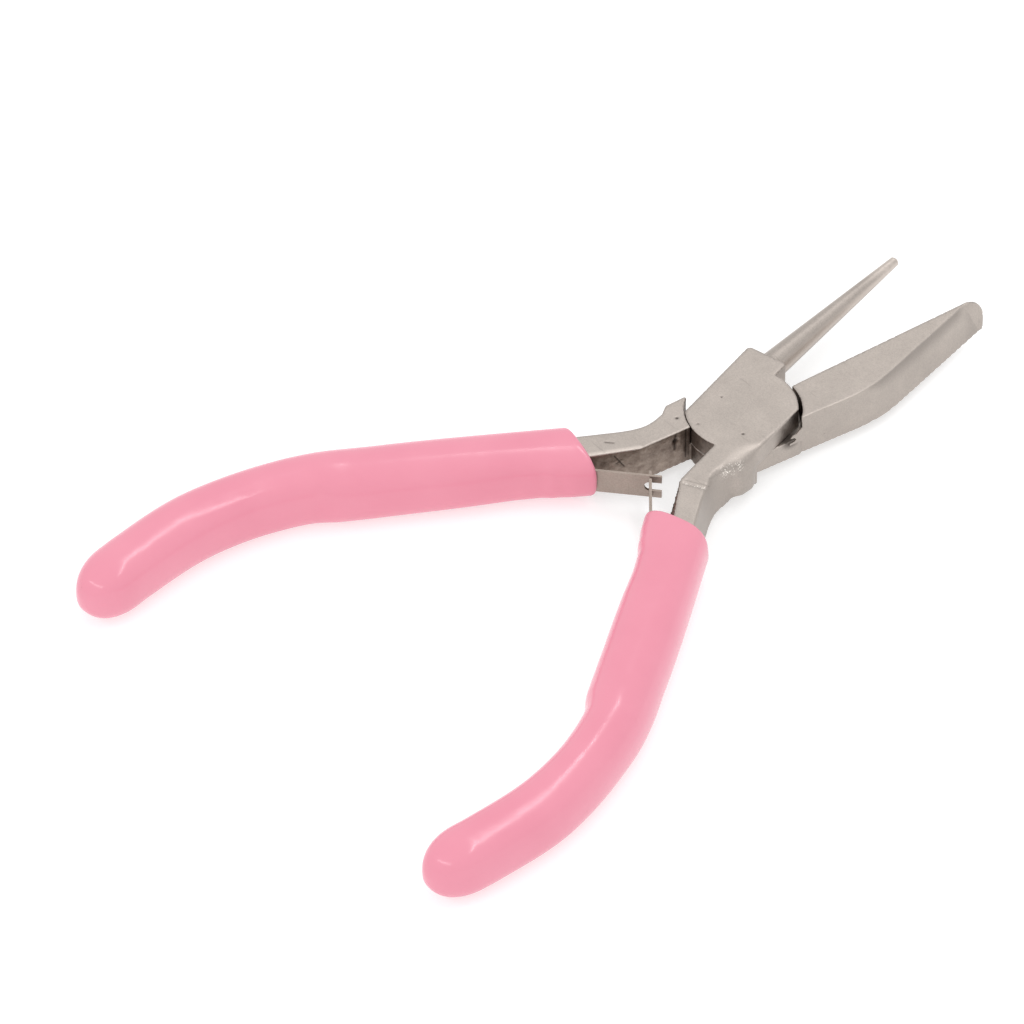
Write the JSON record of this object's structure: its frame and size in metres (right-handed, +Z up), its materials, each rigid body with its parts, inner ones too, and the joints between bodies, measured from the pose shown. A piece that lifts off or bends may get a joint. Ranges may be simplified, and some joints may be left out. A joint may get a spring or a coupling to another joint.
{
  "type": "round nose pliers",
  "caption": "Small lap-joint jewellery pliers with one round tapered jaw and one flat jaw, crossed leaf return springs and smooth curved vinyl grips, standing open.",
  "frame": {"origin": "on the pivot axis, at the flat underside of the lap joint", "axes": "+Z up along the pivot axis, +Y towards the jaws, midway between the open grips, +X towards the flat jaw"},
  "size_m": [0.0756, 0.1219, 0.0089],
  "materials": {
    "flat_jaw_steel": "satin blasted",
    "round_jaw_steel": "satin blasted",
    "rivet_steel": "ground flush",
    "flat_side_vinyl": "gloss dipped",
    "round_side_vinyl": "gloss dipped",
    "fork_blade_steel": "satin spring strip",
    "fork_foot_steel": "satin spring strip",
    "fork_rivet_steel": "satin",
    "tongue_blade_steel": "satin spring strip",
    "tongue_foot_steel": "satin spring strip",
    "tongue_rivet_steel": "satin"
  },
  "bodies": {
    "round_jaw_half": {"round_jaw_lever": "round_jaw_steel", "round_side_grip": "round_side_vinyl", "tongue_spring_foot": "tongue_foot_steel", "tongue_spring_rivet": "tongue_rivet_steel"},
    "flat_jaw_half": {"flat_jaw_lever": "flat_jaw_steel", "pivot_rivet": "rivet_steel", "flat_side_grip": "flat_side_vinyl", "fork_spring_foot": "fork_foot_steel", "fork_spring_rivet": "fork_rivet_steel"},
    "fork_spring": {"fork_spring_blade": "fork_blade_steel"},
    "tongue_spring": {"tongue_spring_blade": "tongue_blade_steel"}
  },
  "joints": [
    {"name": "jaw_hinge", "type": "hinge", "parent": "round_jaw_half", "child": "flat_jaw_half", "pos_m": [0, 0, 0.00295], "axis": [0, 0, 1], "range_deg": [0, 21.2], "stiffness_Nm_per_rad": 0.8, "springref_deg": -8.59},
    {"name": "fork_spring_flex", "type": "hinge", "parent": "flat_jaw_half", "child": "fork_spring", "pos_m": [-0.0079, -0.02309, 0.00295], "axis": [0, 0, 1], "range_deg": [-1, 21]},
    {"name": "tongue_spring_flex", "type": "hinge", "parent": "round_jaw_half", "child": "tongue_spring", "pos_m": [0.00786, -0.02344, 0.00295], "axis": [0, 0, 1], "range_deg": [-21, 1]}
  ],
  "couplings": [
    {"joint": "fork_spring_flex", "follows": "jaw_hinge", "ratio": 0.92},
    {"joint": "tongue_spring_flex", "follows": "jaw_hinge", "ratio": -0.92}
  ]
}
